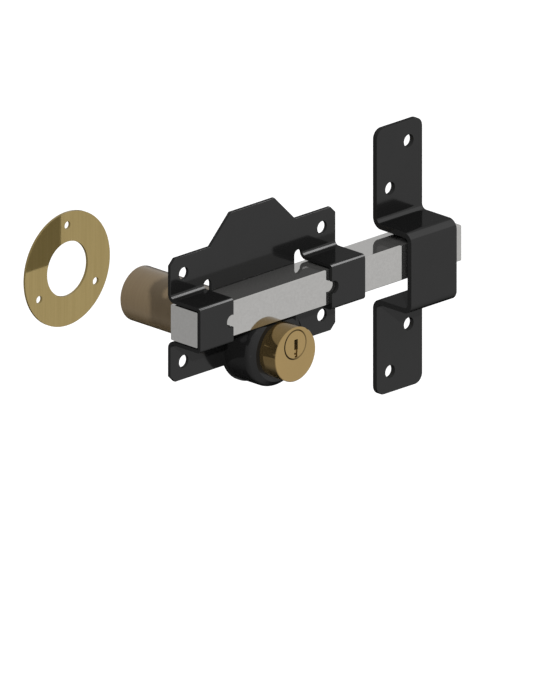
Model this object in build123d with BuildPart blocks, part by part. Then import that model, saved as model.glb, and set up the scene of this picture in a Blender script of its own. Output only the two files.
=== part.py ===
from build123d import *
from math import acos, cos, pi, radians, sin, sqrt, tan
import os

# Rim lock for a gate: a pressed back plate guides a square bolt, a key cylinder works it on each side
# Millimetres. X runs along the bolt to the keep, -Y points out of the plate's front, Z is up.
# The origin is the middle of the plate's four fixing holes, on its back face.

# Back plate, pressed from one sheet
PLATE_WIDTH = 124.0
PLATE_HEIGHT = 69.5
PLATE_SHEET = 2.0
CORNER_CUT = 3.6
CREST_FOOT = 64.0
CREST_HEAD = 33.0
CREST_RISE = 15.5
FIXING_SPAN_X = 104.0
FIXING_SPAN_Z = 49.5
FIXING_HOLE = 7.0

# Straps that carry the bolt
STRAP_WIDTH = 25.0
STRAP_ROOT_BEND = 2.5
STRAP_CORNER_BEND = 0.3
STRAP_RELIEF_WIDTH = 5.8
STRAP_RELIEF_PAST = 1.6
NOTCH_RADIUS = 3.6
NOTCH_SET_IN = 1.3

# Bolt and its room
BOLT_LENGTH = 198.5
BOLT_SECTION = 20.0
BOLT_EDGE = 0.4
BOLT_BACK_GAP = 0.2
BOLT_FRONT_GAP = 0.3
BOLT_SIDE_GAP = 0.75

# Rack and pinion
GEAR_MODULE = 2.0
PINION_TEETH = 12
PRESSURE_ANGLE = 25.0
PINION_ADDENDUM = 1.8
RACK_ADDENDUM = 1.6
TOOTH_TIP_GAP = 0.5
BACKLASH = 0.3
PINION_FACE = 9.0
PINION_BACK_GAP = 1.4
PINION_FRONT_GAP = 0.4
RACK_WALL_GAP = 0.8
FLANK_POINTS = 5

# Journals and the flat drive
REAR_JOURNAL = 8.0
FRONT_JOURNAL = 6.0
REAR_JOURNAL_REACH = 3.5
RUNNING_GAP = 0.05
PASSING_GAP = 0.3
DRIVE_WIDTH = 8.0
DRIVE_THICKNESS = 2.4
DRIVE_GAP = 0.1

# Boss that holds the inner cylinder
BOSS_WALL = 6.3
BOSS_BEVEL = 3.7
BOSS_WEB = 2.6
BOSS_BOLT_GAP = 0.8
LOBE_MARGIN = 0.8

# Cylinders and plugs
CYLINDER_RADIUS = 15.2
CYLINDER_BOLT_GAP = 0.7
CYLINDER_FIT = 0.05
INNER_PROUD = 11.7
FACE_EDGE = 0.3
BARREL_LENGTH = 83.0
BARREL_EDGE = 0.5
PLUG_RADIUS = 8.0
PLUG_RING = 0.35
OUTER_PLUG_LENGTH = 32.0
PLUG_FLOOR_GAP = 0.4
TAIL_ROOM = 1.0
TAIL_SEAT = 4.6
TAIL_PIN_SETBACK = 2.0
TAIL_PIN_RADIUS = 0.8
TAIL_PIN_LENGTH = 15.0
TAIL_REACH = 5.6
TONGUE_REACH = 1.8

# Keyway, stepped stretches from the top down: height, width and sideways shift of each
KEYWAY_TOP = 2.8
KEYWAY_STEPS = ((5.7, 2.6, 0.5), (1.6, 1.3, 0.9), (1.1, 2.2, 0.3), (0.8, 1.2, 0.8), (0.9, 2.0, 0.5))
KEYWAY_END_WALL = 3.0

# Pin tumblers, set below the plugs
TUMBLER_RADIUS = 1.4
TUMBLER_FIT = 0.1
SHEAR_GAP = 0.2
TUMBLER_POINT = 0.6
INNER_PITCH = 3.6
INNER_FIRST = 3.1
INNER_KEY_PINS = (4.4, 5.4, 3.8, 4.9)
INNER_DRIVER = 4.4
OUTER_PITCH = 4.0
OUTER_FIRST = 5.5
OUTER_KEY_PINS = (4.9, 3.9, 5.5, 4.3, 5.1)
OUTER_DRIVER = 3.0
SPRING_WALL = 0.4
CHAMBER_PLUG = 1.2
CHAMBER_PLUG_INSET = 0.15

# Cross pins that hold the plugs in their cylinders
RETAINER_RADIUS = 1.0
RETAINER_BITE = 1.3
RETAINER_FIT = 0.15
INNER_RETAINER_SETBACK = 2.0
OUTER_RETAINER_SETBACK = 6.4
INNER_RETAINER_LENGTH = 10.4
OUTER_RETAINER_LENGTH = 22.0

# Countersunk screws
SCREW_RADIUS = 1.5
SCREW_HEAD = 2.7
SCREW_HEAD_ANGLE = 90.0
SCREW_LENGTH = 8.0
FIRST_HOLE_TURN = 90.0
BARREL_SCREWS = 3
BARREL_SCREW_RADIUS = 11.5
CYLINDER_SCREW_SPAN = 13.0
CYLINDER_SCREW_DROP = 9.0

# Keep, a bent channel on the other leaf
KEEP_WIDTH = 34.2
KEEP_HEIGHT = 150.0
KEEP_SHEET = 3.0
KEEP_OFF_PLATE = 33.2
KEEP_SET_BACK = 3.1
KEEP_DROP = 7.05
KEEP_CHANNEL = 45.6
KEEP_REACH = 29.0
KEEP_ROOT_BEND = 3.0
KEEP_CORNER_BEND = 2.5
KEEP_END_ROUND = 5.5
KEEP_HOLE = 7.2
KEEP_HOLE_INSET = 10.1
KEEP_HOLE_FAR = 63.3
KEEP_HOLE_NEAR = 39.9

# Rose for the outer cylinder
ROSE_OUTSIDE = 63.8
ROSE_BORE = 30.6
ROSE_SHEET = 1.5
ROSE_OFF_BARREL = 54.4
ROSE_EDGE = 0.2
ROSE_HOLE = 4.3
ROSE_HOLE_SPREAD = 49.0
ROSE_HOLES = 3

# Length of a drilled cut that runs out through the side, and tolerance for finding corners by place
DRILL_RUN = 30.0
PLACE_TOLERANCE = 1e-4

# Heights, measured from the middle of the bolt, which is the middle of the plate's fixing holes
pitch_radius = GEAR_MODULE * PINION_TEETH / 2
bolt_top = BOLT_SECTION / 2
bolt_underside = -bolt_top
drive_height = bolt_underside + RACK_ADDENDUM - pitch_radius
cylinder_middle = bolt_underside - CYLINDER_BOLT_GAP - CYLINDER_RADIUS
plate_top = PLATE_HEIGHT / 2
plate_bottom = -plate_top
strap_top = bolt_top + BOLT_SIDE_GAP + PLATE_SHEET
strap_bottom = -strap_top
keep_middle = -KEEP_DROP

# Depths in front of the plate's back face
bolt_back = PLATE_SHEET + BOLT_BACK_GAP
bolt_front = bolt_back + BOLT_SECTION
strap_reach = bolt_front + BOLT_FRONT_GAP + PLATE_SHEET
pinion_back = PLATE_SHEET + PINION_BACK_GAP
pinion_front = pinion_back + PINION_FACE
web_back = pinion_front + PINION_FRONT_GAP
web_front = web_back + BOSS_WEB
rack_depth = pinion_front + RACK_WALL_GAP - bolt_back
boss_front = bolt_front
inner_face = bolt_front + INNER_PROUD
plug_tail = web_front + DRIVE_GAP
front_journal_end = web_front - PASSING_GAP + DRIVE_GAP

# Distances behind the plate's back face
plug_floor = BARREL_LENGTH - OUTER_PLUG_LENGTH
barrel_step = REAR_JOURNAL_REACH + PASSING_GAP

# Radii and widths
half_width = PLATE_WIDTH / 2
strap_inner_edge = half_width - STRAP_WIDTH
boss_radius = CYLINDER_RADIUS + BOSS_WALL
tip_radius = pitch_radius + PINION_ADDENDUM
root_radius = pitch_radius - RACK_ADDENDUM - TOOTH_TIP_GAP
base_radius = pitch_radius * cos(radians(PRESSURE_ANGLE))
rack_pitch = pi * GEAR_MODULE
plug_bore = PLUG_RADIUS + RUNNING_GAP
inner_cylinder_low = cylinder_middle - CYLINDER_RADIUS - drive_height
shear_low = PLUG_RADIUS - SHEAR_GAP
shear_high = PLUG_RADIUS + SHEAR_GAP
chamber_radius = TUMBLER_RADIUS + TUMBLER_FIT
retainer_height = PLUG_RADIUS - RETAINER_BITE + RETAINER_RADIUS
groove_radius = PLUG_RADIUS - RETAINER_BITE - RETAINER_FIT
groove_half = RETAINER_RADIUS + RETAINER_FIT
drive_slot_width = DRIVE_WIDTH + 2 * DRIVE_GAP
drive_slot_thickness = DRIVE_THICKNESS + 2 * DRIVE_GAP
drive_half_diagonal = sqrt(DRIVE_WIDTH ** 2 + DRIVE_THICKNESS ** 2) / 2
keep_left = half_width + KEEP_OFF_PLATE
keep_right = keep_left + KEEP_WIDTH

drive_axis = Axis((0, 0, drive_height), (0, 1, 0))
cylinder_axis = Axis((0, 0, cylinder_middle), (0, 1, 0))


def front_plane(depth):
    """Upright plane facing the front, the given depth in front of the plate's back face."""
    return Plane.XZ.offset(depth)


def drive_plane(depth):
    """The same plane, with its origin on the drive axis."""
    return Plane(origin=(0, -depth, drive_height), x_dir=(1, 0, 0), z_dir=(0, -1, 0))


def turned_half(steps):
    """Half section of a turned piece, from its (depth in front, radius) corners."""
    corners = [(radius, -depth) for depth, radius in steps]
    with BuildSketch(mode=Mode.PRIVATE) as half:
        with BuildLine():
            Polyline((0, -steps[0][0]), *corners, (0, -steps[-1][0]), close=True)
        make_face()
    return half.sketch


def hat_section(sheet, top, bottom, reach, root_bend, corner_bend, lip):
    """Section of sheet bent forward into a bridge, with a flat lip above and below it."""
    upper_end = top + root_bend + lip
    lower_end = bottom - root_bend - lip
    inner_reach = reach - sheet

    def corners_at(depth, *levels):
        corners = [v for v in section.vertices() if abs(v.X + depth) < PLACE_TOLERANCE]
        return [v for v in corners if any(abs(v.Y - level) < PLACE_TOLERANCE for level in levels)]

    with BuildSketch(mode=Mode.PRIVATE) as section:
        with BuildLine():
            Polyline(
                (0, upper_end), (-sheet, upper_end), (-sheet, top), (-reach, top),
                (-reach, bottom), (-sheet, bottom), (-sheet, lower_end), (0, lower_end),
                (0, bottom + sheet), (-inner_reach, bottom + sheet),
                (-inner_reach, top - sheet), (0, top - sheet), close=True)
        make_face()
        fillet(corners_at(sheet, top, bottom), root_bend)
        fillet(corners_at(0, top - sheet, bottom + sheet), root_bend + sheet)
        fillet(corners_at(reach, top, bottom), corner_bend + sheet)
        fillet(corners_at(inner_reach, top - sheet, bottom + sheet), corner_bend)
    return section.sketch


def involute(angle):
    """Involute function of an angle in radians."""
    return tan(angle) - angle


def flank_point(radius, side):
    """Point on the flank of the tooth that stands upright, at a radius from the drive axis."""
    tooth_width = rack_pitch / 2 - BACKLASH / 2
    swing = tooth_width / (2 * pitch_radius) + involute(radians(PRESSURE_ANGLE))
    swing -= involute(acos(base_radius / radius))
    return (side * radius * sin(swing), radius * cos(swing))


def pinion_tooth():
    """One upright tooth with involute flanks, rooted inside the root circle."""
    step = (tip_radius - base_radius) / (FLANK_POINTS - 1)
    radii = [base_radius + step * i for i in range(FLANK_POINTS)]
    left = [flank_point(radius, -1) for radius in radii]
    right = [flank_point(radius, 1) for radius in radii]
    foot_share = (root_radius - TOOTH_TIP_GAP) / base_radius
    with BuildSketch(mode=Mode.PRIVATE) as tooth:
        with BuildLine():
            Spline(*left)
            ThreePointArc(left[-1], (0, tip_radius), right[-1])
            Spline(*reversed(right))
            Polyline(right[0], (right[0][0], right[0][1] * foot_share),
                     (left[0][0], left[0][1] * foot_share), left[0])
        make_face()
    return tooth.sketch


def rack_slot():
    """One slot of the rack, straight sided, open through the bolt's underside."""
    mouth = root_radius
    floor = tip_radius + TOOTH_TIP_GAP
    middle_half = rack_pitch / 4 + BACKLASH / 4
    slope = tan(radians(PRESSURE_ANGLE))
    mouth_half = middle_half + (pitch_radius - mouth) * slope
    floor_half = middle_half - (floor - pitch_radius) * slope
    with BuildSketch(mode=Mode.PRIVATE) as slot:
        with BuildLine():
            Polyline(
                (-mouth_half, mouth), (mouth_half, mouth), (floor_half, floor), (-floor_half, floor),
                close=True)
        make_face()
    return slot.sketch


def keyway():
    """Section of the keyway: stretches, one under the other, that step sideways."""
    with BuildSketch(mode=Mode.PRIVATE) as section:
        level = KEYWAY_TOP
        for height, width, shift in KEYWAY_STEPS:
            with Locations((shift, level - height / 2)):
                Rectangle(width, height)
            level -= height
    return section.sketch


def upright_rods(stations, low, high, radius):
    """Upright round rods between two heights above the drive axis, one at each station."""
    with BuildPart(mode=Mode.PRIVATE) as rods:
        with BuildSketch(Plane.XY.offset(drive_height + low)):
            with Locations(*[(0, -depth) for depth in stations]):
                Circle(radius)
        extrude(amount=high - low)
    return rods.part


def spring_sleeves(stations, seat, top):
    """Springs as thin sleeves of their outside size, between their seat and the driver pins."""
    with BuildPart(mode=Mode.PRIVATE) as sleeves:
        add(upright_rods(stations, seat, top, TUMBLER_RADIUS))
        add(upright_rods(stations, seat, top, TUMBLER_RADIUS - SPRING_WALL), mode=Mode.SUBTRACT)
    return sleeves.part


def cross_rod(depth, height, start, length, radius):
    """Level round rod along X, from its left end, at a height above the drive axis."""
    with BuildPart(mode=Mode.PRIVATE) as rod:
        with BuildSketch(Plane.YZ.offset(start)):
            with Locations((-depth, drive_height + height)):
                Circle(radius)
        extrude(amount=length)
    return rod.part


def key_pins(stations, lengths):
    """Key pins in a plug, their outer ends just inside the shear line, their inner ends bevelled."""
    with BuildPart(mode=Mode.PRIVATE) as pins:
        for depth, length in zip(stations, lengths):
            with BuildSketch(drive_plane(depth)):
                with BuildLine():
                    Polyline(
                        (0, -shear_low), (TUMBLER_RADIUS, -shear_low),
                        (TUMBLER_RADIUS, length - shear_low - TUMBLER_POINT),
                        (TUMBLER_RADIUS - TUMBLER_POINT, length - shear_low),
                        (0, length - shear_low), close=True)
                make_face()
            revolve(axis=Axis((0, -depth, 0), (0, 0, 1)))
    return pins.part


def plug_body(front, back, groove, key_face, key_floor, stations, lengths):
    """Turned plug with bevelled ends, its retaining groove, keyway and tumbler holes."""
    with BuildPart(mode=Mode.PRIVATE) as body:
        with BuildSketch(Plane.XY.offset(drive_height)):
            add(turned_half([
                (back, PLUG_RADIUS - PLUG_RING), (back + PLUG_RING, PLUG_RADIUS),
                (groove - groove_half, PLUG_RADIUS), (groove - groove_half, groove_radius),
                (groove + groove_half, groove_radius), (groove + groove_half, PLUG_RADIUS),
                (front - PLUG_RING, PLUG_RADIUS), (front, PLUG_RADIUS - PLUG_RING)]))
        revolve(axis=drive_axis)
        with BuildSketch(drive_plane(min(key_face, key_floor))):
            add(keyway())
        extrude(amount=abs(key_face - key_floor), mode=Mode.SUBTRACT)
        hole_top = max(lengths) - shear_low + TUMBLER_FIT
        add(upright_rods(stations, -PLUG_RADIUS, hole_top, chamber_radius), mode=Mode.SUBTRACT)
    return body.part


# Back plate
with BuildPart() as back_plate:
    with BuildSketch(Plane.XZ) as plate_outline:
        with BuildLine():
            Polyline(
                (-half_width, plate_bottom), (half_width, plate_bottom), (half_width, plate_top),
                (CREST_FOOT / 2, plate_top), (CREST_HEAD / 2, plate_top + CREST_RISE),
                (-CREST_HEAD / 2, plate_top + CREST_RISE), (-CREST_FOOT / 2, plate_top),
                (-half_width, plate_top), close=True)
        make_face()
        side_corners = [v for v in plate_outline.vertices() if abs(abs(v.X) - half_width) < PLACE_TOLERANCE]
        chamfer(side_corners, CORNER_CUT)
        with Locations((0, cylinder_middle)):
            Circle(boss_radius + LOBE_MARGIN)
        with GridLocations(FIXING_SPAN_X, FIXING_SPAN_Z, 2, 2):
            Circle(FIXING_HOLE / 2, mode=Mode.SUBTRACT)
        window_height = strap_top - strap_bottom + 2 * STRAP_ROOT_BEND
        relief_height = window_height + 2 * STRAP_RELIEF_PAST
        for side in (-1, 1):
            with Locations((side * (half_width + strap_inner_edge) / 2, 0)):
                Rectangle(STRAP_WIDTH, window_height, mode=Mode.SUBTRACT)
            with Locations((side * (strap_inner_edge - STRAP_RELIEF_WIDTH / 2), 0)):
                SlotOverall(relief_height, STRAP_RELIEF_WIDTH, rotation=90, mode=Mode.SUBTRACT)
            with Locations((side * (strap_inner_edge - STRAP_RELIEF_WIDTH / 4), 0)):
                Rectangle(STRAP_RELIEF_WIDTH / 2, window_height, mode=Mode.SUBTRACT)
        with Locations((0, drive_height)):
            Circle(REAR_JOURNAL + PASSING_GAP, mode=Mode.SUBTRACT)
    extrude(amount=PLATE_SHEET)
    for strap_start in (-half_width, strap_inner_edge):
        with BuildSketch(Plane.YZ.offset(strap_start)):
            add(hat_section(PLATE_SHEET, strap_top, strap_bottom, strap_reach, STRAP_ROOT_BEND,
                            STRAP_CORNER_BEND, PLATE_SHEET / 2))
        extrude(amount=STRAP_WIDTH)
    with BuildSketch(front_plane(bolt_front)):
        for side in (-1, 1):
            with Locations((side * (strap_inner_edge + NOTCH_SET_IN), 0)):
                Circle(NOTCH_RADIUS)
    extrude(amount=strap_reach - bolt_front, mode=Mode.SUBTRACT)
    with Locations(drive_plane(PLATE_SHEET)):
        with PolarLocations(BARREL_SCREW_RADIUS, BARREL_SCREWS, start_angle=FIRST_HOLE_TURN):
            CounterSinkHole(SCREW_RADIUS, SCREW_HEAD, depth=PLATE_SHEET, counter_sink_angle=SCREW_HEAD_ANGLE)
back_plate.part.label = "back_plate"

# Bolt with the rack in its underside, cut in from the back so that the front face stays whole
with BuildPart() as bolt_bar:
    with BuildSketch(Plane.YZ.offset(-half_width)) as bolt_end:
        with Locations((-(bolt_back + bolt_front) / 2, 0)):
            Rectangle(BOLT_SECTION, BOLT_SECTION)
        chamfer(bolt_end.vertices(), BOLT_EDGE)
    extrude(amount=BOLT_LENGTH)
    with BuildSketch(drive_plane(bolt_back)):
        with Locations(*[(rack_pitch * i, 0) for i in range(-1, PINION_TEETH + 2)]):
            add(rack_slot())
    extrude(amount=rack_depth, mode=Mode.SUBTRACT)
bolt_bar.part.label = "bolt_bar"

# Pinion with a journal at each end and a flat slot for the drive right through it
with BuildPart() as pinion:
    with BuildSketch(drive_plane(pinion_back)):
        Circle(root_radius)
        with PolarLocations(0, PINION_TEETH):
            add(pinion_tooth())
    extrude(amount=PINION_FACE)
    with BuildSketch(drive_plane(-REAR_JOURNAL_REACH)):
        Circle(REAR_JOURNAL)
    extrude(amount=REAR_JOURNAL_REACH + pinion_back)
    with BuildSketch(drive_plane(pinion_front)):
        Circle(FRONT_JOURNAL)
    extrude(amount=front_journal_end - pinion_front)
    with BuildSketch(drive_plane(-REAR_JOURNAL_REACH)):
        Rectangle(drive_slot_thickness, drive_slot_width)
    extrude(amount=REAR_JOURNAL_REACH + front_journal_end, mode=Mode.SUBTRACT)
pinion.part.label = "pinion"

# Boss, welded to the plate: pinion room behind, web with a bearing hole, cylinder pocket in front
cylinder_screw_spots = [(side * CYLINDER_SCREW_SPAN / 2, -CYLINDER_SCREW_DROP) for side in (-1, 1)]
with BuildPart() as cylinder_boss:
    with BuildSketch(Plane.XY.offset(cylinder_middle)):
        add(turned_half([
            (PLATE_SHEET, boss_radius), (boss_front - BOSS_BEVEL, boss_radius),
            (boss_front, boss_radius - BOSS_BEVEL)]))
    revolve(axis=cylinder_axis)
    boss_top = bolt_underside - BOSS_BOLT_GAP
    split(bisect_by=Plane.XY.offset(boss_top), keep=Keep.BOTTOM)
    with BuildSketch(drive_plane(PLATE_SHEET)):
        Circle(tip_radius + TOOTH_TIP_GAP)
    extrude(amount=web_back - PLATE_SHEET, mode=Mode.SUBTRACT)
    with BuildSketch(drive_plane(web_back)):
        Circle(FRONT_JOURNAL + RUNNING_GAP)
    extrude(amount=BOSS_WEB, mode=Mode.SUBTRACT)
    with BuildSketch(front_plane(web_front)):
        with Locations((0, cylinder_middle)):
            Circle(CYLINDER_RADIUS + CYLINDER_FIT)
    extrude(amount=boss_front - web_front, mode=Mode.SUBTRACT)
    with Locations(drive_plane(web_back).rotated((180, 0, 0))):
        with Locations(*[(x, -z) for x, z in cylinder_screw_spots]):
            CounterSinkHole(SCREW_RADIUS, SCREW_HEAD, depth=BOSS_WEB, counter_sink_angle=SCREW_HEAD_ANGLE)
cylinder_boss.part.label = "cylinder_boss"

# Tumbler places along the drive axis: the inner face looks forward, the outer face backward
inner_stations = [inner_face - INNER_FIRST - INNER_PITCH * i for i in range(len(INNER_KEY_PINS))]
outer_stations = [OUTER_FIRST + OUTER_PITCH * i - BARREL_LENGTH for i in range(len(OUTER_KEY_PINS))]
inner_retainer_depth = web_front + INNER_RETAINER_SETBACK
outer_retainer_depth = -plug_floor - OUTER_RETAINER_SETBACK
tail_pin_depth = -plug_floor - TAIL_PIN_SETBACK


# Inner cylinder, with its plug set high in it
with BuildPart() as inner_cylinder:
    with BuildSketch(Plane.XY.offset(cylinder_middle)):
        add(turned_half([
            (web_front, CYLINDER_RADIUS), (inner_face - FACE_EDGE, CYLINDER_RADIUS),
            (inner_face, CYLINDER_RADIUS - FACE_EDGE)]))
    revolve(axis=cylinder_axis)
    with BuildSketch(Plane.XY.offset(drive_height)):
        add(turned_half([
            (web_front, plug_bore), (inner_face - PLUG_RING, plug_bore), (inner_face, plug_bore + PLUG_RING)]))
    revolve(axis=drive_axis, mode=Mode.SUBTRACT)
    add(upright_rods(inner_stations, inner_cylinder_low, 0, chamber_radius), mode=Mode.SUBTRACT)
    add(cross_rod(inner_retainer_depth, retainer_height, -INNER_RETAINER_LENGTH / 2, DRILL_RUN,
                  RETAINER_RADIUS), mode=Mode.SUBTRACT)
    with BuildSketch(drive_plane(web_front)):
        with Locations(*cylinder_screw_spots):
            Circle(SCREW_RADIUS)
    extrude(amount=SCREW_LENGTH - BOSS_WEB, mode=Mode.SUBTRACT)
inner_cylinder.part.label = "inner_cylinder"

with BuildPart() as inner_plug:
    add(plug_body(inner_face, plug_tail, inner_retainer_depth, inner_face, plug_tail + KEYWAY_END_WALL,
                  inner_stations, INNER_KEY_PINS))
    with BuildSketch(drive_plane(front_journal_end - TONGUE_REACH)):
        Rectangle(DRIVE_THICKNESS, DRIVE_WIDTH)
    extrude(amount=plug_tail - front_journal_end + TONGUE_REACH)
inner_plug.part.label = "inner_plug"

# Outer barrel, carried on the back of the plate
barrel_screw_turns = [FIRST_HOLE_TURN + 360 / BARREL_SCREWS * i for i in range(BARREL_SCREWS)]
barrel_screw_spots = [
    (BARREL_SCREW_RADIUS * cos(radians(turn)), BARREL_SCREW_RADIUS * sin(radians(turn)))
    for turn in barrel_screw_turns]
with BuildPart() as outer_barrel:
    with BuildSketch(Plane.XY.offset(drive_height)):
        add(turned_half([
            (-BARREL_LENGTH, CYLINDER_RADIUS - BARREL_EDGE), (BARREL_EDGE - BARREL_LENGTH, CYLINDER_RADIUS),
            (0, CYLINDER_RADIUS)]))
    revolve(axis=drive_axis)
    with BuildSketch(Plane.XY.offset(drive_height)):
        add(turned_half([
            (-BARREL_LENGTH, plug_bore + PLUG_RING), (PLUG_RING - BARREL_LENGTH, plug_bore),
            (-plug_floor + PLUG_FLOOR_GAP, plug_bore),
            (-plug_floor + PLUG_FLOOR_GAP, drive_half_diagonal + TAIL_ROOM),
            (-barrel_step, drive_half_diagonal + TAIL_ROOM),
            (-barrel_step, REAR_JOURNAL + RUNNING_GAP), (0, REAR_JOURNAL + RUNNING_GAP)]))
    revolve(axis=drive_axis, mode=Mode.SUBTRACT)
    add(upright_rods(outer_stations, -CYLINDER_RADIUS, 0, chamber_radius), mode=Mode.SUBTRACT)
    add(cross_rod(outer_retainer_depth, retainer_height, -OUTER_RETAINER_LENGTH / 2, DRILL_RUN,
                  RETAINER_RADIUS), mode=Mode.SUBTRACT)
    with BuildSketch(drive_plane(PLATE_SHEET - SCREW_LENGTH)):
        with Locations(*barrel_screw_spots):
            Circle(SCREW_RADIUS)
    extrude(amount=SCREW_LENGTH - PLATE_SHEET, mode=Mode.SUBTRACT)
outer_barrel.part.label = "outer_barrel"

with BuildPart() as outer_plug:
    add(plug_body(-plug_floor, -BARREL_LENGTH, outer_retainer_depth, -BARREL_LENGTH,
                  -plug_floor - TAIL_SEAT - KEYWAY_END_WALL, outer_stations, OUTER_KEY_PINS))
    with BuildSketch(drive_plane(-plug_floor - TAIL_SEAT)):
        Rectangle(DRIVE_THICKNESS, DRIVE_WIDTH)
    extrude(amount=TAIL_SEAT, mode=Mode.SUBTRACT)
    add(cross_rod(tail_pin_depth, 0, -TAIL_PIN_LENGTH / 2, DRILL_RUN, TAIL_PIN_RADIUS), mode=Mode.SUBTRACT)
outer_plug.part.label = "outer_plug"

# Flat tail bar from the outer plug into the pinion, pinned in the plug
with BuildPart() as tail_bar:
    with BuildSketch(drive_plane(-plug_floor - TAIL_SEAT)):
        Rectangle(DRIVE_THICKNESS, DRIVE_WIDTH)
    extrude(amount=plug_floor + TAIL_SEAT + pinion_back + TAIL_REACH)
    add(cross_rod(tail_pin_depth, 0, -DRIVE_THICKNESS, 2 * DRIVE_THICKNESS, TAIL_PIN_RADIUS),
        mode=Mode.SUBTRACT)
tail_bar.part.label = "tail_bar"

with BuildPart() as tail_pin:
    add(cross_rod(tail_pin_depth, 0, -TAIL_PIN_LENGTH / 2, TAIL_PIN_LENGTH, TAIL_PIN_RADIUS))
tail_pin.part.label = "tail_pin"

with BuildPart() as inner_plug_retainer:
    add(cross_rod(inner_retainer_depth, retainer_height, -INNER_RETAINER_LENGTH / 2, INNER_RETAINER_LENGTH,
                  RETAINER_RADIUS))
inner_plug_retainer.part.label = "inner_plug_retainer"

with BuildPart() as outer_plug_retainer:
    add(cross_rod(outer_retainer_depth, retainer_height, -OUTER_RETAINER_LENGTH / 2, OUTER_RETAINER_LENGTH,
                  RETAINER_RADIUS))
outer_plug_retainer.part.label = "outer_plug_retainer"

# Tumblers: key pins in the plugs, driver pins, springs and chamber plugs in the cylinders
inner_chamber_end = inner_cylinder_low + CHAMBER_PLUG_INSET
outer_chamber_end = CHAMBER_PLUG_INSET - CYLINDER_RADIUS
inner_spring_seat = inner_chamber_end + CHAMBER_PLUG
outer_spring_seat = outer_chamber_end + CHAMBER_PLUG

with BuildPart() as inner_key_pins:
    add(key_pins(inner_stations, INNER_KEY_PINS))
inner_key_pins.part.label = "inner_key_pins"

with BuildPart() as outer_key_pins:
    add(key_pins(outer_stations, OUTER_KEY_PINS))
outer_key_pins.part.label = "outer_key_pins"

with BuildPart() as inner_driver_pins:
    add(upright_rods(inner_stations, -shear_high - INNER_DRIVER, -shear_high, TUMBLER_RADIUS))
inner_driver_pins.part.label = "inner_driver_pins"

with BuildPart() as outer_driver_pins:
    add(upright_rods(outer_stations, -shear_high - OUTER_DRIVER, -shear_high, TUMBLER_RADIUS))
outer_driver_pins.part.label = "outer_driver_pins"

with BuildPart() as inner_pin_springs:
    add(spring_sleeves(inner_stations, inner_spring_seat, -shear_high - INNER_DRIVER))
inner_pin_springs.part.label = "inner_pin_springs"

with BuildPart() as outer_pin_springs:
    add(spring_sleeves(outer_stations, outer_spring_seat, -shear_high - OUTER_DRIVER))
outer_pin_springs.part.label = "outer_pin_springs"

with BuildPart() as inner_chamber_plugs:
    add(upright_rods(inner_stations, inner_chamber_end, inner_spring_seat, chamber_radius))
inner_chamber_plugs.part.label = "inner_chamber_plugs"

with BuildPart() as outer_chamber_plugs:
    add(upright_rods(outer_stations, outer_chamber_end, outer_spring_seat, chamber_radius))
outer_chamber_plugs.part.label = "outer_chamber_plugs"

# Countersunk screws, their heads hidden in the pinion room
with BuildPart() as barrel_screws:
    for x, z in barrel_screw_spots:
        with BuildSketch(Plane.XY.offset(drive_height + z)):
            with Locations((x, 0)):
                add(turned_half([
                    (PLATE_SHEET - SCREW_LENGTH, SCREW_RADIUS),
                    (PLATE_SHEET + SCREW_RADIUS - SCREW_HEAD, SCREW_RADIUS), (PLATE_SHEET, SCREW_HEAD)]))
        revolve(axis=Axis((x, 0, drive_height + z), (0, 1, 0)))
barrel_screws.part.label = "barrel_screws"

with BuildPart() as cylinder_screws:
    for x, z in cylinder_screw_spots:
        with BuildSketch(Plane.XY.offset(drive_height + z)):
            with Locations((x, 0)):
                add(turned_half([
                    (web_back, SCREW_HEAD), (web_back + SCREW_HEAD - SCREW_RADIUS, SCREW_RADIUS),
                    (web_back + SCREW_LENGTH, SCREW_RADIUS)]))
        revolve(axis=Axis((x, 0, drive_height + z), (0, 1, 0)))
cylinder_screws.part.label = "cylinder_screws"

# Keep: two flat ends and a deep channel that the bolt shoots into
with BuildPart() as bolt_keep:
    channel_top = keep_middle + KEEP_CHANNEL / 2
    channel_bottom = keep_middle - KEEP_CHANNEL / 2
    flat_end = (KEEP_HEIGHT - KEEP_CHANNEL) / 2 - KEEP_ROOT_BEND
    with BuildSketch(Plane.YZ.offset(keep_left)):
        with Locations((KEEP_SET_BACK, 0)):
            add(hat_section(KEEP_SHEET, channel_top, channel_bottom, KEEP_REACH, KEEP_ROOT_BEND,
                            KEEP_CORNER_BEND, flat_end))
    extrude(amount=KEEP_WIDTH)
    end_corners = bolt_keep.edges().filter_by(Axis.Y).filter_by(
        lambda e: abs(abs(e.center().Z - keep_middle) - KEEP_HEIGHT / 2) < PLACE_TOLERANCE)
    fillet(end_corners, KEEP_END_ROUND)
    with BuildSketch(front_plane(-KEEP_SET_BACK)):
        keep_hole_right = keep_right - KEEP_HOLE_INSET
        keep_hole_left = keep_left + KEEP_HOLE_INSET
        with Locations(
                (keep_hole_right, keep_middle + KEEP_HOLE_FAR),
                (keep_hole_left, keep_middle + KEEP_HOLE_NEAR),
                (keep_hole_right, keep_middle - KEEP_HOLE_NEAR),
                (keep_hole_left, keep_middle - KEEP_HOLE_FAR)):
            Circle(KEEP_HOLE / 2)
    extrude(amount=KEEP_SHEET, mode=Mode.SUBTRACT)
bolt_keep.part.label = "bolt_keep"

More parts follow.
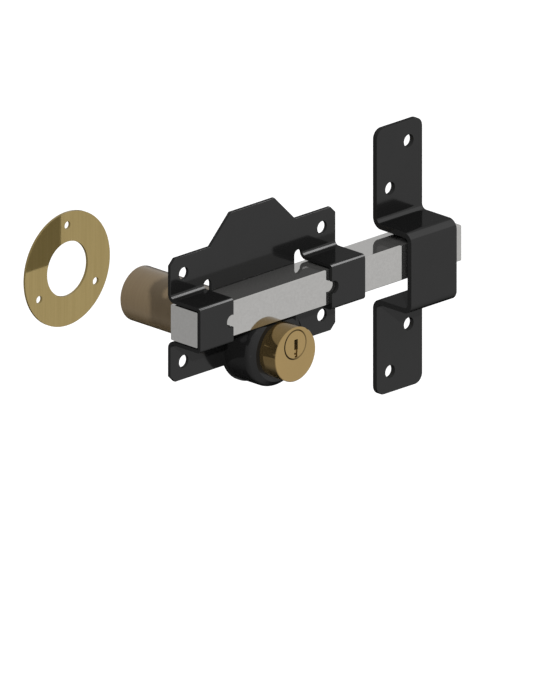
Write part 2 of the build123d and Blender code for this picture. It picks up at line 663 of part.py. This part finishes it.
# Rose, a flat ring for the far side of the gate
rose_front = -BARREL_LENGTH - ROSE_OFF_BARREL
with BuildPart() as cylinder_rose:
    with BuildSketch(drive_plane(rose_front - ROSE_SHEET)):
        Circle(ROSE_OUTSIDE / 2)
        Circle(ROSE_BORE / 2, mode=Mode.SUBTRACT)
        with PolarLocations(ROSE_HOLE_SPREAD / 2, ROSE_HOLES, start_angle=FIRST_HOLE_TURN):
            Circle(ROSE_HOLE / 2, mode=Mode.SUBTRACT)
    extrude(amount=ROSE_SHEET)
    rim_edges = cylinder_rose.faces().sort_by(Axis.Y)[-1].outer_wire().edges()
    chamfer(rim_edges, ROSE_EDGE)
cylinder_rose.part.label = "cylinder_rose"

os.makedirs("parts", exist_ok=True)
for piece in (
        back_plate, bolt_bar, pinion, cylinder_boss, inner_cylinder, inner_plug, outer_barrel, outer_plug,
        tail_bar, tail_pin, inner_plug_retainer, outer_plug_retainer, inner_key_pins, outer_key_pins,
        inner_driver_pins, outer_driver_pins, inner_pin_springs, outer_pin_springs, inner_chamber_plugs,
        outer_chamber_plugs, barrel_screws, cylinder_screws, bolt_keep, cylinder_rose):
    export_step(piece.part, f"parts/{piece.part.label}.step")
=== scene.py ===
"""Looks of a rim lock: black coated plate and keep, bright bolt, brass cylinders and a brass rose."""

import logging
import math
from dataclasses import dataclass
from enum import Enum
from typing import Callable, Protocol, Sequence

import bpy
from mathutils import Matrix, Vector


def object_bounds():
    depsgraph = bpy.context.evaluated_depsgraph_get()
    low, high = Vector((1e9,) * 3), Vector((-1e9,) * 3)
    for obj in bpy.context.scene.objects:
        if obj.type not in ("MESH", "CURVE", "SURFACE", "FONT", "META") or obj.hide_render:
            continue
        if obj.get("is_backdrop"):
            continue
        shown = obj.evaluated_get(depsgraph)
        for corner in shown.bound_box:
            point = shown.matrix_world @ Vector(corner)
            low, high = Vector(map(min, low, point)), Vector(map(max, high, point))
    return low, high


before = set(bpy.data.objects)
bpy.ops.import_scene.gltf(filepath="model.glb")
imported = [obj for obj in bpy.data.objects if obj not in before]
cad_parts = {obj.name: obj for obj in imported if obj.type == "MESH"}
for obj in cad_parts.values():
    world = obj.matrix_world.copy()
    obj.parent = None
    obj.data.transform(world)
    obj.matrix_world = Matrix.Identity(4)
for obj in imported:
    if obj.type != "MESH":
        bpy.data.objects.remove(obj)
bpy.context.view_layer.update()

MM = 0.001
WELD_MM = 0.001
FLAT_ANGLE_DEG = 0.5
EDGE_ANGLE_DEG = 35.0
EDGE_SEGMENTS = 2
WHITE = (1.0, 1.0, 1.0, 1.0)

# Noise seldom leaves this middle range
NOISE_LOW, NOISE_HIGH = 0.35, 0.65

# Numbered sockets of the mix node, whose names repeat for each kind of data
MIX_FLOAT_A, MIX_FLOAT_B, MIX_FLOAT_RESULT = 2, 3, 0
MIX_COLOUR_A, MIX_COLOUR_B, MIX_COLOUR_RESULT = 6, 7, 2

log = logging.getLogger("rim_lock")


class Grain(Enum):
    """The way the fine lines of a worked surface run, as how fast the pattern changes along X, Y and Z."""

    UPRIGHT = (1.0, 1.0, 0.03)
    ROUND_BARREL = (0.02, 1.0, 0.02)
    EVEN = (1.0, 1.0, 1.0)


def linear_from_hex(colour: str) -> tuple[float, float, float, float]:
    """Turns an sRGB hex colour into linear RGBA.

    Args:
        colour: Six hex digits with a leading hash.

    Returns:
        Linear red, green, blue and an alpha of one.
    """
    def linear(value: float) -> float:
        """Linear light of one channel, by the sRGB standard's own curve."""
        return value / 12.92 if value <= 0.04045 else ((value + 0.055) / 1.055) ** 2.4

    channels = [int(colour[i:i + 2], 16) / 255 for i in (1, 3, 5)]
    red, green, blue = (linear(channel) for channel in channels)
    return red, green, blue, 1.0


def grey(level: float) -> tuple[float, float, float, float]:
    """Linear RGBA of a plain grey."""
    return level, level, level, 1.0


def add_node(tree: bpy.types.NodeTree, kind: str, settings: dict[str | int, object] | None = None,
             links: dict[str | int, bpy.types.NodeSocket] | None = None) -> bpy.types.Node:
    """Adds one node with its settings and its incoming links.

    Args:
        tree: The node tree to add to.
        kind: The node's type name.
        settings: Values by attribute name, or else by the name or number of an input.
        links: Sockets of other nodes by the name or number of the input that each goes into.

    Returns:
        The new node.
    """
    node = tree.nodes.new(kind)
    for name, value in (settings or {}).items():
        if isinstance(name, str) and hasattr(node, name):
            setattr(node, name, value)
        else:
            node.inputs[name].default_value = value
    for name, socket in (links or {}).items():
        tree.links.new(socket, node.inputs[name])
    return node


def new_material(name: str) -> tuple[bpy.types.Material, bpy.types.NodeTree]:
    """Makes an empty node material.

    Args:
        name: The material's name.

    Returns:
        The material and its node tree, with no nodes.
    """
    material = bpy.data.materials.new(name)
    material.use_nodes = True
    material.node_tree.nodes.clear()
    return material, material.node_tree


def close_material(tree: bpy.types.NodeTree, shader: bpy.types.Node) -> None:
    """Links a shader to a new material output."""
    add_node(tree, "ShaderNodeOutputMaterial", links={"Surface": shader.outputs[0]})


def pattern(tree: bpy.types.NodeTree, pitch_mm: float, grain: Grain, octaves: float) -> bpy.types.Node:
    """Noise in the lock's own coordinates, at a real pitch.

    Args:
        tree: The node tree to add to.
        pitch_mm: Distance from one grain to the next.
        grain: The way the grains run.
        octaves: Octaves of finer noise.

    Returns:
        The noise node.
    """
    place = add_node(tree, "ShaderNodeTexCoord")
    stretched = add_node(tree, "ShaderNodeMapping", {"Scale": grain.value}, {"Vector": place.outputs["Object"]})
    return add_node(tree, "ShaderNodeTexNoise", {"Scale": 1 / (pitch_mm * MM), "Detail": octaves},
                    {"Vector": stretched.outputs["Vector"]})


def tinted(tree: bpy.types.NodeTree, share: bpy.types.NodeSocket, colours: tuple[str, str]) -> bpy.types.NodeSocket:
    """Mixes two colours by a pattern.

    Args:
        tree: The node tree to add to.
        share: How much of the second colour shows.
        colours: Both colours as sRGB hex.

    Returns:
        The socket with the mixed colour.
    """
    first, second = (linear_from_hex(colour) for colour in colours)
    mixed = add_node(tree, "ShaderNodeMix", {"data_type": "RGBA", MIX_COLOUR_A: first, MIX_COLOUR_B: second},
                     {"Factor": share})
    return mixed.outputs[MIX_COLOUR_RESULT]


class Finish(Protocol):
    """A surface finish that can make its material."""

    def material(self) -> bpy.types.Material:
        """Makes the material."""
        ...


@dataclass(frozen=True)
class BlackCoat:
    """Stoved black japan on pressed steel: dark and glossy, with a faint orange peel that bends reflections."""

    name: str = "stoved_black_coat"
    colours: tuple[str, str] = ("#343434", "#363636")
    # The steel under the thin coat keeps its sheen from rising at grazing angles, as a thick paint's would
    metallic: float = 0.77
    grazing_tint: float = 0.49
    roughness: float = 0.1
    peel_mm: float = 2.4
    peel_depth_mm: float = 0.002
    peel_strength: float = 0.5
    cloud_mm: float = 14.0

    def material(self) -> bpy.types.Material:
        """Makes the material."""
        material, tree = new_material(self.name)
        cloud = pattern(tree, self.cloud_mm, Grain.EVEN, octaves=2.0)
        peel = pattern(tree, self.peel_mm, Grain.EVEN, octaves=1.0)
        bump = add_node(tree, "ShaderNodeBump", {
            "Strength": self.peel_strength, "Distance": self.peel_depth_mm * MM}, {"Height": peel.outputs["Fac"]})
        shader = add_node(tree, "ShaderNodeBsdfPrincipled", {
            "Metallic": self.metallic, "Roughness": self.roughness, "Specular IOR Level": 0.0,
            "Specular Tint": grey(self.grazing_tint)},
            {"Base Color": tinted(tree, cloud.outputs["Fac"], self.colours), "Normal": bump.outputs["Normal"]})
        close_material(tree, shader)
        return material


@dataclass(frozen=True)
class Seam:
    """Round joint between two turned pieces, with its axis along Y, drawn as a thin dark line: partly the joint's
    own dark gap, partly painted shade in it, darker on the left side.
    """

    height_mm: float
    radius_mm: float
    half_width_mm: float
    colour: str
    # Share of the painted shade kept on the right side of the line, whose wall the light falls on; the left side
    # keeps all of it
    lit_side_share: float = 0.3

    def darken(self, tree: bpy.types.NodeTree, colour: bpy.types.NodeSocket) -> bpy.types.NodeSocket:
        """Draws the joint's line, with its painted shade, over a colour.

        Args:
            tree: The node tree to add to.
            colour: The clean metal's colour.

        Returns:
            The socket with the darkened colour.
        """
        place = add_node(tree, "ShaderNodeTexCoord")
        across = add_node(tree, "ShaderNodeMapping", {
            "Location": (0.0, 0.0, -self.height_mm * MM), "Scale": (1.0, 0.0, 1.0)},
            {"Vector": place.outputs["Object"]})
        reach = add_node(tree, "ShaderNodeVectorMath", {"operation": "LENGTH"}, {0: across.outputs["Vector"]})
        inside = add_node(tree, "ShaderNodeMath", {
            "operation": "COMPARE", 1: self.radius_mm * MM, 2: self.half_width_mm * MM},
            {0: reach.outputs["Value"]})
        # Painted shade: full on the left of the line, fading to lit_side_share on the right, as the light falls
        parts = add_node(tree, "ShaderNodeSeparateXYZ", links={0: across.outputs["Vector"]})
        depth = add_node(tree, "ShaderNodeMapRange", {
            "From Min": -self.radius_mm * MM, "From Max": self.radius_mm * MM, "To Min": 1.0,
            "To Max": self.lit_side_share}, {"Value": parts.outputs["X"]})
        share = add_node(tree, "ShaderNodeMath", {"operation": "MULTIPLY"},
                         {0: inside.outputs[0], 1: depth.outputs[0]})
        mixed = add_node(tree, "ShaderNodeMix", {"data_type": "RGBA", MIX_COLOUR_B: linear_from_hex(self.colour)},
                         {"Factor": share.outputs[0], MIX_COLOUR_A: colour})
        return mixed.outputs[MIX_COLOUR_RESULT]


@dataclass(frozen=True)
class WorkedMetal:
    """Bare, plated or lacquered metal with fine lines left by the tool, which tint and bend its reflections."""

    name: str
    colours: tuple[str, str]
    roughness: float
    # Below one where lacquer and tarnish scatter part of the light, which gives the metal a matt body
    metallic: float = 1.0
    grain: Grain = Grain.EVEN
    # Coarser than the real tool marks, which one pixel would swallow
    grain_mm: float = 0.5
    grain_depth_mm: float = 0.0003
    grain_strength: float = 0.4
    seam: Seam | None = None

    def material(self) -> bpy.types.Material:
        """Makes the material."""
        material, tree = new_material(self.name)
        lines = pattern(tree, self.grain_mm, self.grain, octaves=2.0)
        share = add_node(tree, "ShaderNodeMapRange", {"From Min": NOISE_LOW, "From Max": NOISE_HIGH},
                         {"Value": lines.outputs["Fac"]})
        bump = add_node(tree, "ShaderNodeBump", {
            "Strength": self.grain_strength, "Distance": self.grain_depth_mm * MM}, {"Height": lines.outputs["Fac"]})
        colour = tinted(tree, share.outputs[0], self.colours)
        # The seam's dark line: the joint's gap, with painted shade in it
        if self.seam:
            colour = self.seam.darken(tree, colour)
        shader = add_node(tree, "ShaderNodeBsdfPrincipled", {
            "Metallic": self.metallic, "Roughness": self.roughness},
            {"Base Color": colour, "Normal": bump.outputs["Normal"]})
        close_material(tree, shader)
        return material


@dataclass(frozen=True)
class Rounding:
    """Wider rounding of the edges whose ends pass a test."""

    width_mm: float
    segments: int
    # Takes a corner's X, Y and Z in millimetres
    holds: Callable[[float, float, float], bool]

    def apply(self, piece: bpy.types.Object) -> None:
        """Adds the rounding to a piece as a modifier.

        Args:
            piece: The piece, with its corners still as the CAD gives them.
        """
        group = piece.vertex_groups.new(name="rounded")
        corners = [piece.matrix_world @ corner.co / MM for corner in piece.data.vertices]
        group.add([i for i, corner in enumerate(corners) if self.holds(*corner)], 1.0, "REPLACE")
        wide = piece.modifiers.new("rounded", "BEVEL")
        wide.width = self.width_mm * MM
        wide.segments = self.segments
        wide.limit_method = "VGROUP"
        wide.vertex_group = group.name
        wide.use_clamp_overlap = False


def dress(nodes: Sequence[str], finish: Finish, edge_mm: float = 0.0,
          rounding: Rounding | None = None) -> None:
    """Gives CAD nodes a finish and rounds their sharp edges a little.

    Args:
        nodes: Names of the CAD nodes.
        finish: The finish.
        edge_mm: Width of the rounding, none at zero.
        rounding: Wider rounding of chosen edges.
    """
    material = finish.material()
    for name in nodes:
        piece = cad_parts[name]
        piece.data.materials.clear()
        piece.data.materials.append(material)
        if edge_mm:
            # The CAD's faces come apart and cut into triangles, which no edge can be rounded across
            weld = piece.modifiers.new("weld", "WELD")
            weld.merge_threshold = WELD_MM * MM
            flat = piece.modifiers.new("flat faces", "DECIMATE")
            flat.decimate_type = "DISSOLVE"
            flat.angle_limit = math.radians(FLAT_ANGLE_DEG)
            if rounding:
                rounding.apply(piece)
            edge = piece.modifiers.new("edge", "BEVEL")
            edge.width = edge_mm * MM
            edge.segments = EDGE_SEGMENTS
            edge.limit_method = "ANGLE"
            edge.angle_limit = math.radians(EDGE_ANGLE_DEG)
            shade = piece.modifiers.new("shade", "WEIGHTED_NORMAL")
            shade.keep_sharp = False
        log.info("dressed %s in %s", name, material.name)


@dataclass
class PlateWork:
    """Back plate with its straps, and the boss welded to it."""

    edge_mm: float = 0.1
    # How near its place a corner lies
    near_mm: float = 0.05
    # The crest and the left edge, where the pressing leaves a rounding that catches the light
    front_mm: float = -2.0
    crest_foot_mm: float = 34.0
    left_edge_mm: float = -61.0
    rim_mm: float = 0.35
    rim_segments: int = 2
    # The root of the boss's bevel, where the coat pools into a soft corner
    bevel_root_mm: float = -18.5
    boss_middle_mm: float = -25.9
    boss_radius_mm: float = 21.5
    bevel_mm: float = 1.8
    bevel_segments: int = 5

    def on_front_rim(self, x: float, y: float, z: float) -> bool:
        """Whether a corner lies on the crest's or the left edge's front rim."""
        return abs(y - self.front_mm) < self.near_mm and (z > self.crest_foot_mm or x < self.left_edge_mm)

    def on_boss_bevel(self, x: float, y: float, z: float) -> bool:
        """Whether a corner lies where the boss's bevel starts."""
        reach = math.hypot(x, z - self.boss_middle_mm)
        return abs(y - self.bevel_root_mm) < self.near_mm and abs(reach - self.boss_radius_mm) < self.near_mm

    def build(self) -> None:
        """Dresses the plate and the boss."""
        dress(["back_plate"], BlackCoat(), self.edge_mm,
              Rounding(self.rim_mm, self.rim_segments, self.on_front_rim))
        dress(["cylinder_boss"], BlackCoat(name="stoved_black_coat_boss"), self.edge_mm,
              Rounding(self.bevel_mm, self.bevel_segments, self.on_boss_bevel))


@dataclass
class KeepWork:
    """Bent keep on the other leaf."""

    edge_mm: float = 0.1
    # Coated apart from the plate, a little less glossy
    roughness: float = 0.12

    def build(self) -> None:
        """Dresses the keep."""
        coat = BlackCoat(name="stoved_black_coat_keep", roughness=self.roughness)
        dress(["bolt_keep"], coat, self.edge_mm)


@dataclass
class BoltWork:
    """Square bolt with its rack, and the steel parts that drive it."""

    edge_mm: float = 0.1

    def build(self) -> None:
        """Dresses the bolt, the pinion and the small steel parts."""
        # Bright plating on drawn bar: a pale, slightly mottled mirror
        bright = WorkedMetal("bright_plated_steel", ("#adacaa", "#a8a7a5"), roughness=0.05, metallic=0.97,
                             grain_mm=1.2)
        dress(["bolt_bar"], bright, self.edge_mm)
        # Cutter marks and oil: grey, with soft lights
        milled = WorkedMetal("milled_steel", ("#9a9a99", "#8b8b8a"), roughness=0.35)
        dress(["pinion", "tail_bar", "tail_pin", "inner_plug_retainer", "outer_plug_retainer",
               "inner_pin_springs", "outer_pin_springs", "barrel_screws", "cylinder_screws"],
              milled)


@dataclass
class CylinderWork:
    """Both key cylinders with their plugs and tumblers."""

    clean: tuple[str, str] = ("#a08759", "#9c8457")
    polished: float = 0.9
    dulled: float = 0.35
    ring_mm: float = 0.6
    # Thin dark line round the plugs: the joint's gap with painted shade in it, darker on the left side
    plug_seam_and_shade: Seam = Seam(height_mm=-20.4, radius_mm=8.0, half_width_mm=0.45, colour="#241a0a")

    def build(self) -> None:
        """Dresses the cylinders, plugs and pins."""
        # Fine turned rings: a golden mirror drawn out round the cylinder
        turned = WorkedMetal("turned_brass", self.clean, roughness=0.05, metallic=self.polished,
                             grain=Grain.ROUND_BARREL, grain_mm=self.ring_mm, seam=self.plug_seam_and_shade)
        dress(["inner_cylinder", "inner_chamber_plugs", "outer_chamber_plugs"], turned)
        # Turned the same way, then tarnished: a brown, nearly matt body under a faint shine
        dull = WorkedMetal("dull_brass", ("#817057", "#7d6c54"), roughness=0.12, metallic=self.dulled,
                           grain=Grain.ROUND_BARREL, grain_mm=self.ring_mm)
        dress(["outer_barrel"], dull)
        # Faced in the lathe after fitting: the same gold as the cylinder round it
        faced = WorkedMetal("faced_brass", self.clean, roughness=0.06, metallic=self.polished,
                            seam=self.plug_seam_and_shade)
        dress(["inner_plug", "outer_plug"], faced)
        # Drawn rod: soft lights, streaked along the pins
        drawn = WorkedMetal("drawn_brass", ("#b09a66", "#a48e5c"), roughness=0.3, grain=Grain.UPRIGHT)
        dress(["inner_key_pins", "outer_key_pins", "inner_driver_pins", "outer_driver_pins"],
              drawn)


@dataclass
class RoseWork:
    """Flat ring for the outer cylinder."""

    lacquered: float = 0.6
    brush_mm: float = 1.6

    def build(self) -> None:
        """Dresses the rose."""
        # Brushed sheet under lacquer: pale upright lines in a mirror with a matt body
        brushed = WorkedMetal("brushed_brass", ("#998655", "#93804f"), roughness=0.03, metallic=self.lacquered,
                              grain=Grain.UPRIGHT, grain_mm=self.brush_mm)
        dress(["cylinder_rose"], brushed)


@dataclass(frozen=True)
class Panel:
    """Flat soft light that reaches only some nodes, as a card held beside them does, sized in metres."""

    name: str
    comes_from: tuple[float, float, float]
    along: tuple[float, float, float]
    distance: float
    length: float
    width: float
    radiance: float
    reaches: tuple[str, ...]
    # Off for a card that only lights, and that no polished face shows
    mirrored: bool = True

    def hang(self) -> None:
        """Makes the panel's lamp, facing the lock."""
        data = bpy.data.lights.new(self.name, "AREA")
        data.shape = "RECTANGLE"
        data.size = self.length
        data.size_y = self.width
        data.energy = self.radiance * math.pi * self.length * self.width
        lamp = bpy.data.objects.new(self.name, data)
        away, along = Vector(self.comes_from).normalized(), Vector(self.along).normalized()
        turn = Matrix((along, away.cross(along), away)).transposed().to_4x4()
        lamp.matrix_world = Matrix.Translation(away * self.distance) @ turn
        bpy.context.scene.collection.objects.link(lamp)
        reached = bpy.data.collections.new(f"lit_by_{self.name}")
        for name in self.reaches:
            reached.objects.link(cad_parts[name])
        lamp.light_linking.receiver_collection = reached
        lamp.visible_glossy = self.mirrored


@dataclass
class Lamps:
    """A hard key lamp from the left, strips that the bends show, and cards for the bolt's end and its top."""

    key_from: tuple[float, float, float] = (-0.545, -0.70, 0.46)
    key_strength: float = 2.8
    key_angle_deg: float = 1.6
    bend_strip: Panel = Panel(
        "bend_strip", comes_from=(0.667, -0.333, 0.667), along=(0.0, 0.894, 0.447), distance=0.55,
        length=0.37, width=0.11, radiance=9.0, reaches=("back_plate",))
    keep_strip: Panel = Panel(
        "keep_strip", comes_from=(0.667, -0.333, 0.667), along=(0.0, 0.894, 0.447), distance=0.55,
        length=0.5, width=0.3, radiance=0.7, reaches=("bolt_keep",))
    end_card: Panel = Panel(
        "end_card", comes_from=(-0.667, 0.667, -0.333), along=(0.707, 0.707, 0.0), distance=0.6,
        length=0.5, width=0.5, radiance=0.42, reaches=("bolt_bar",))
    top_card: Panel = Panel(
        "top_card", comes_from=(0.0, 0.0, 1.0), along=(1.0, 0.0, 0.0), distance=0.6,
        length=0.6, width=0.4, radiance=20.0, reaches=("bolt_bar",), mirrored=False)

    def build(self) -> None:
        """Hangs the lamps."""
        data = bpy.data.lights.new("key", "SUN")
        data.energy = self.key_strength
        data.angle = math.radians(self.key_angle_deg)
        key = bpy.data.objects.new("key", data)
        key.rotation_mode = "QUATERNION"
        key.rotation_quaternion = Vector(self.key_from).to_track_quat("Z", "Y")
        key.visible_glossy = False
        bpy.context.scene.collection.objects.link(key)
        for panel in (self.bend_strip, self.keep_strip, self.end_card, self.top_card):
            panel.hang()


@dataclass
class Surround:
    """White surround to the camera, and a studio with a bright and a dark side in reflections."""

    bright_side: tuple[float, float, float] = (0.677, -0.621, 0.395)
    bright_range: tuple[float, float, float, float] = (-1.0, 0.73, 0.22, 1.0)
    dark_side: tuple[float, float, float] = (0.45, 0.66, -0.6)
    dark_range: tuple[float, float] = (0.55, 0.9)
    soft_light: float = 0.4
    # In metres, far enough for the shadow to fall outside the picture
    floor_drop: float = 1.0
    floor_size: float = 40.0
    floor_grey: float = 0.8
    floor_lift: float = 0.5

    def floor(self) -> None:
        """Lays a large pale floor, lifted to white for the camera, that keeps shadows."""
        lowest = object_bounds()[0].z - self.floor_drop
        bpy.ops.mesh.primitive_plane_add(size=self.floor_size, location=(0, 0, lowest))
        floor = bpy.context.object
        floor.name = "floor"
        material, tree = new_material("pale_floor")
        matte = add_node(tree, "ShaderNodeBsdfDiffuse", {"Color": grey(self.floor_grey)})
        path = add_node(tree, "ShaderNodeLightPath")
        lift = add_node(tree, "ShaderNodeMath", {"operation": "MULTIPLY", 1: self.floor_lift},
                        {0: path.outputs["Is Camera Ray"]})
        glow = add_node(tree, "ShaderNodeEmission", {"Color": WHITE}, {"Strength": lift.outputs[0]})
        both = add_node(tree, "ShaderNodeAddShader", links={0: matte.outputs[0], 1: glow.outputs[0]})
        close_material(tree, both)
        floor.data.materials.append(material)
        floor.visible_glossy = False
        floor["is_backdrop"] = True

    def reflected(self, tree: bpy.types.NodeTree) -> bpy.types.NodeSocket:
        """Shapes the studio that polished faces show.

        Args:
            tree: The world's node tree.

        Returns:
            The socket with the studio's brightness in each direction.
        """
        place = add_node(tree, "ShaderNodeTexCoord")
        side = add_node(tree, "ShaderNodeVectorMath", {"operation": "DOT_PRODUCT", 1: self.bright_side},
                        {0: place.outputs["Generated"]})
        low, high, dim, full = self.bright_range
        level = add_node(tree, "ShaderNodeMapRange", {
            "From Min": low, "From Max": high, "To Min": dim, "To Max": full}, {"Value": side.outputs["Value"]})
        behind = add_node(tree, "ShaderNodeVectorMath", {"operation": "DOT_PRODUCT", 1: self.dark_side},
                          {0: place.outputs["Generated"]})
        start, end = self.dark_range
        gap = add_node(tree, "ShaderNodeMapRange", {
            "interpolation_type": "SMOOTHSTEP", "From Min": start, "From Max": end, "To Min": 1.0, "To Max": 0.0},
            {"Value": behind.outputs["Value"]})
        shaped = add_node(tree, "ShaderNodeMath", {"operation": "MULTIPLY"},
                          {0: level.outputs[0], 1: gap.outputs[0]})
        return shaped.outputs[0]

    def world(self) -> None:
        """Sets the world: white to the camera, even and dim for matt surfaces, shaped for reflections."""
        world = bpy.data.worlds.new("studio")
        bpy.context.scene.world = world
        world.use_nodes = True
        tree = world.node_tree
        tree.nodes.clear()
        path = add_node(tree, "ShaderNodeLightPath")
        mirrored = add_node(tree, "ShaderNodeMath", {"operation": "MAXIMUM"},
                            {0: path.outputs["Is Glossy Ray"], 1: path.outputs["Is Transmission Ray"]})
        lit = add_node(tree, "ShaderNodeMix", {"data_type": "FLOAT", MIX_FLOAT_A: self.soft_light},
                       {"Factor": mirrored.outputs[0], MIX_FLOAT_B: self.reflected(tree)})
        shown = add_node(tree, "ShaderNodeMix", {"data_type": "FLOAT", MIX_FLOAT_B: 1.0},
                         {"Factor": path.outputs["Is Camera Ray"], MIX_FLOAT_A: lit.outputs[MIX_FLOAT_RESULT]})
        background = add_node(tree, "ShaderNodeBackground", {"Color": WHITE},
                              {"Strength": shown.outputs[MIX_FLOAT_RESULT]})
        add_node(tree, "ShaderNodeOutputWorld", links={"Surface": background.outputs[0]})

    def build(self) -> None:
        """Sets up the floor and the world."""
        self.floor()
        self.world()


@dataclass
class View:
    """Parallel view from the upper left, as a catalogue picture has."""

    frame_px: tuple[float, float] = (550.0, 700.0)
    px_per_mm: float = 1.881
    origin_px: tuple[float, float] = (250.3, 293.5)
    azimuth_deg: float = -45.0
    elevation_deg: float = 19.47
    distance_m: float = 2.0

    def build(self) -> None:
        """Sets the camera."""
        azimuth, elevation = math.radians(self.azimuth_deg), math.radians(self.elevation_deg)
        back = Vector((math.sin(azimuth) * math.cos(elevation), -math.cos(azimuth) * math.cos(elevation),
                       math.sin(elevation)))
        right = Vector((math.cos(azimuth), math.sin(azimuth), 0))
        up = back.cross(right)
        right_mm = (self.frame_px[0] / 2 - self.origin_px[0]) / self.px_per_mm
        down_mm = (self.frame_px[1] / 2 - self.origin_px[1]) / self.px_per_mm
        target = (right * right_mm - up * down_mm) * MM
        data = bpy.data.cameras.new("camera")
        data.type = "ORTHO"
        data.ortho_scale = self.frame_px[1] / self.px_per_mm * MM
        camera = bpy.data.objects.new("camera", data)
        camera.location = target + back * self.distance_m
        camera.rotation_mode = "QUATERNION"
        camera.rotation_quaternion = (-back).to_track_quat("-Z", "Y")
        bpy.context.scene.collection.objects.link(camera)
        bpy.context.scene.camera = camera
        bpy.context.scene.view_settings.view_transform = "Standard"


def main() -> None:
    """Builds the lock's looks and the studio."""
    logging.basicConfig(level=logging.INFO, format="%(message)s")
    for work in (PlateWork(), KeepWork(), BoltWork(), CylinderWork(), RoseWork(), Lamps(), Surround(), View()):
        work.build()
        log.info("built %s", type(work).__name__)


if __name__ == "__main__":
    main()
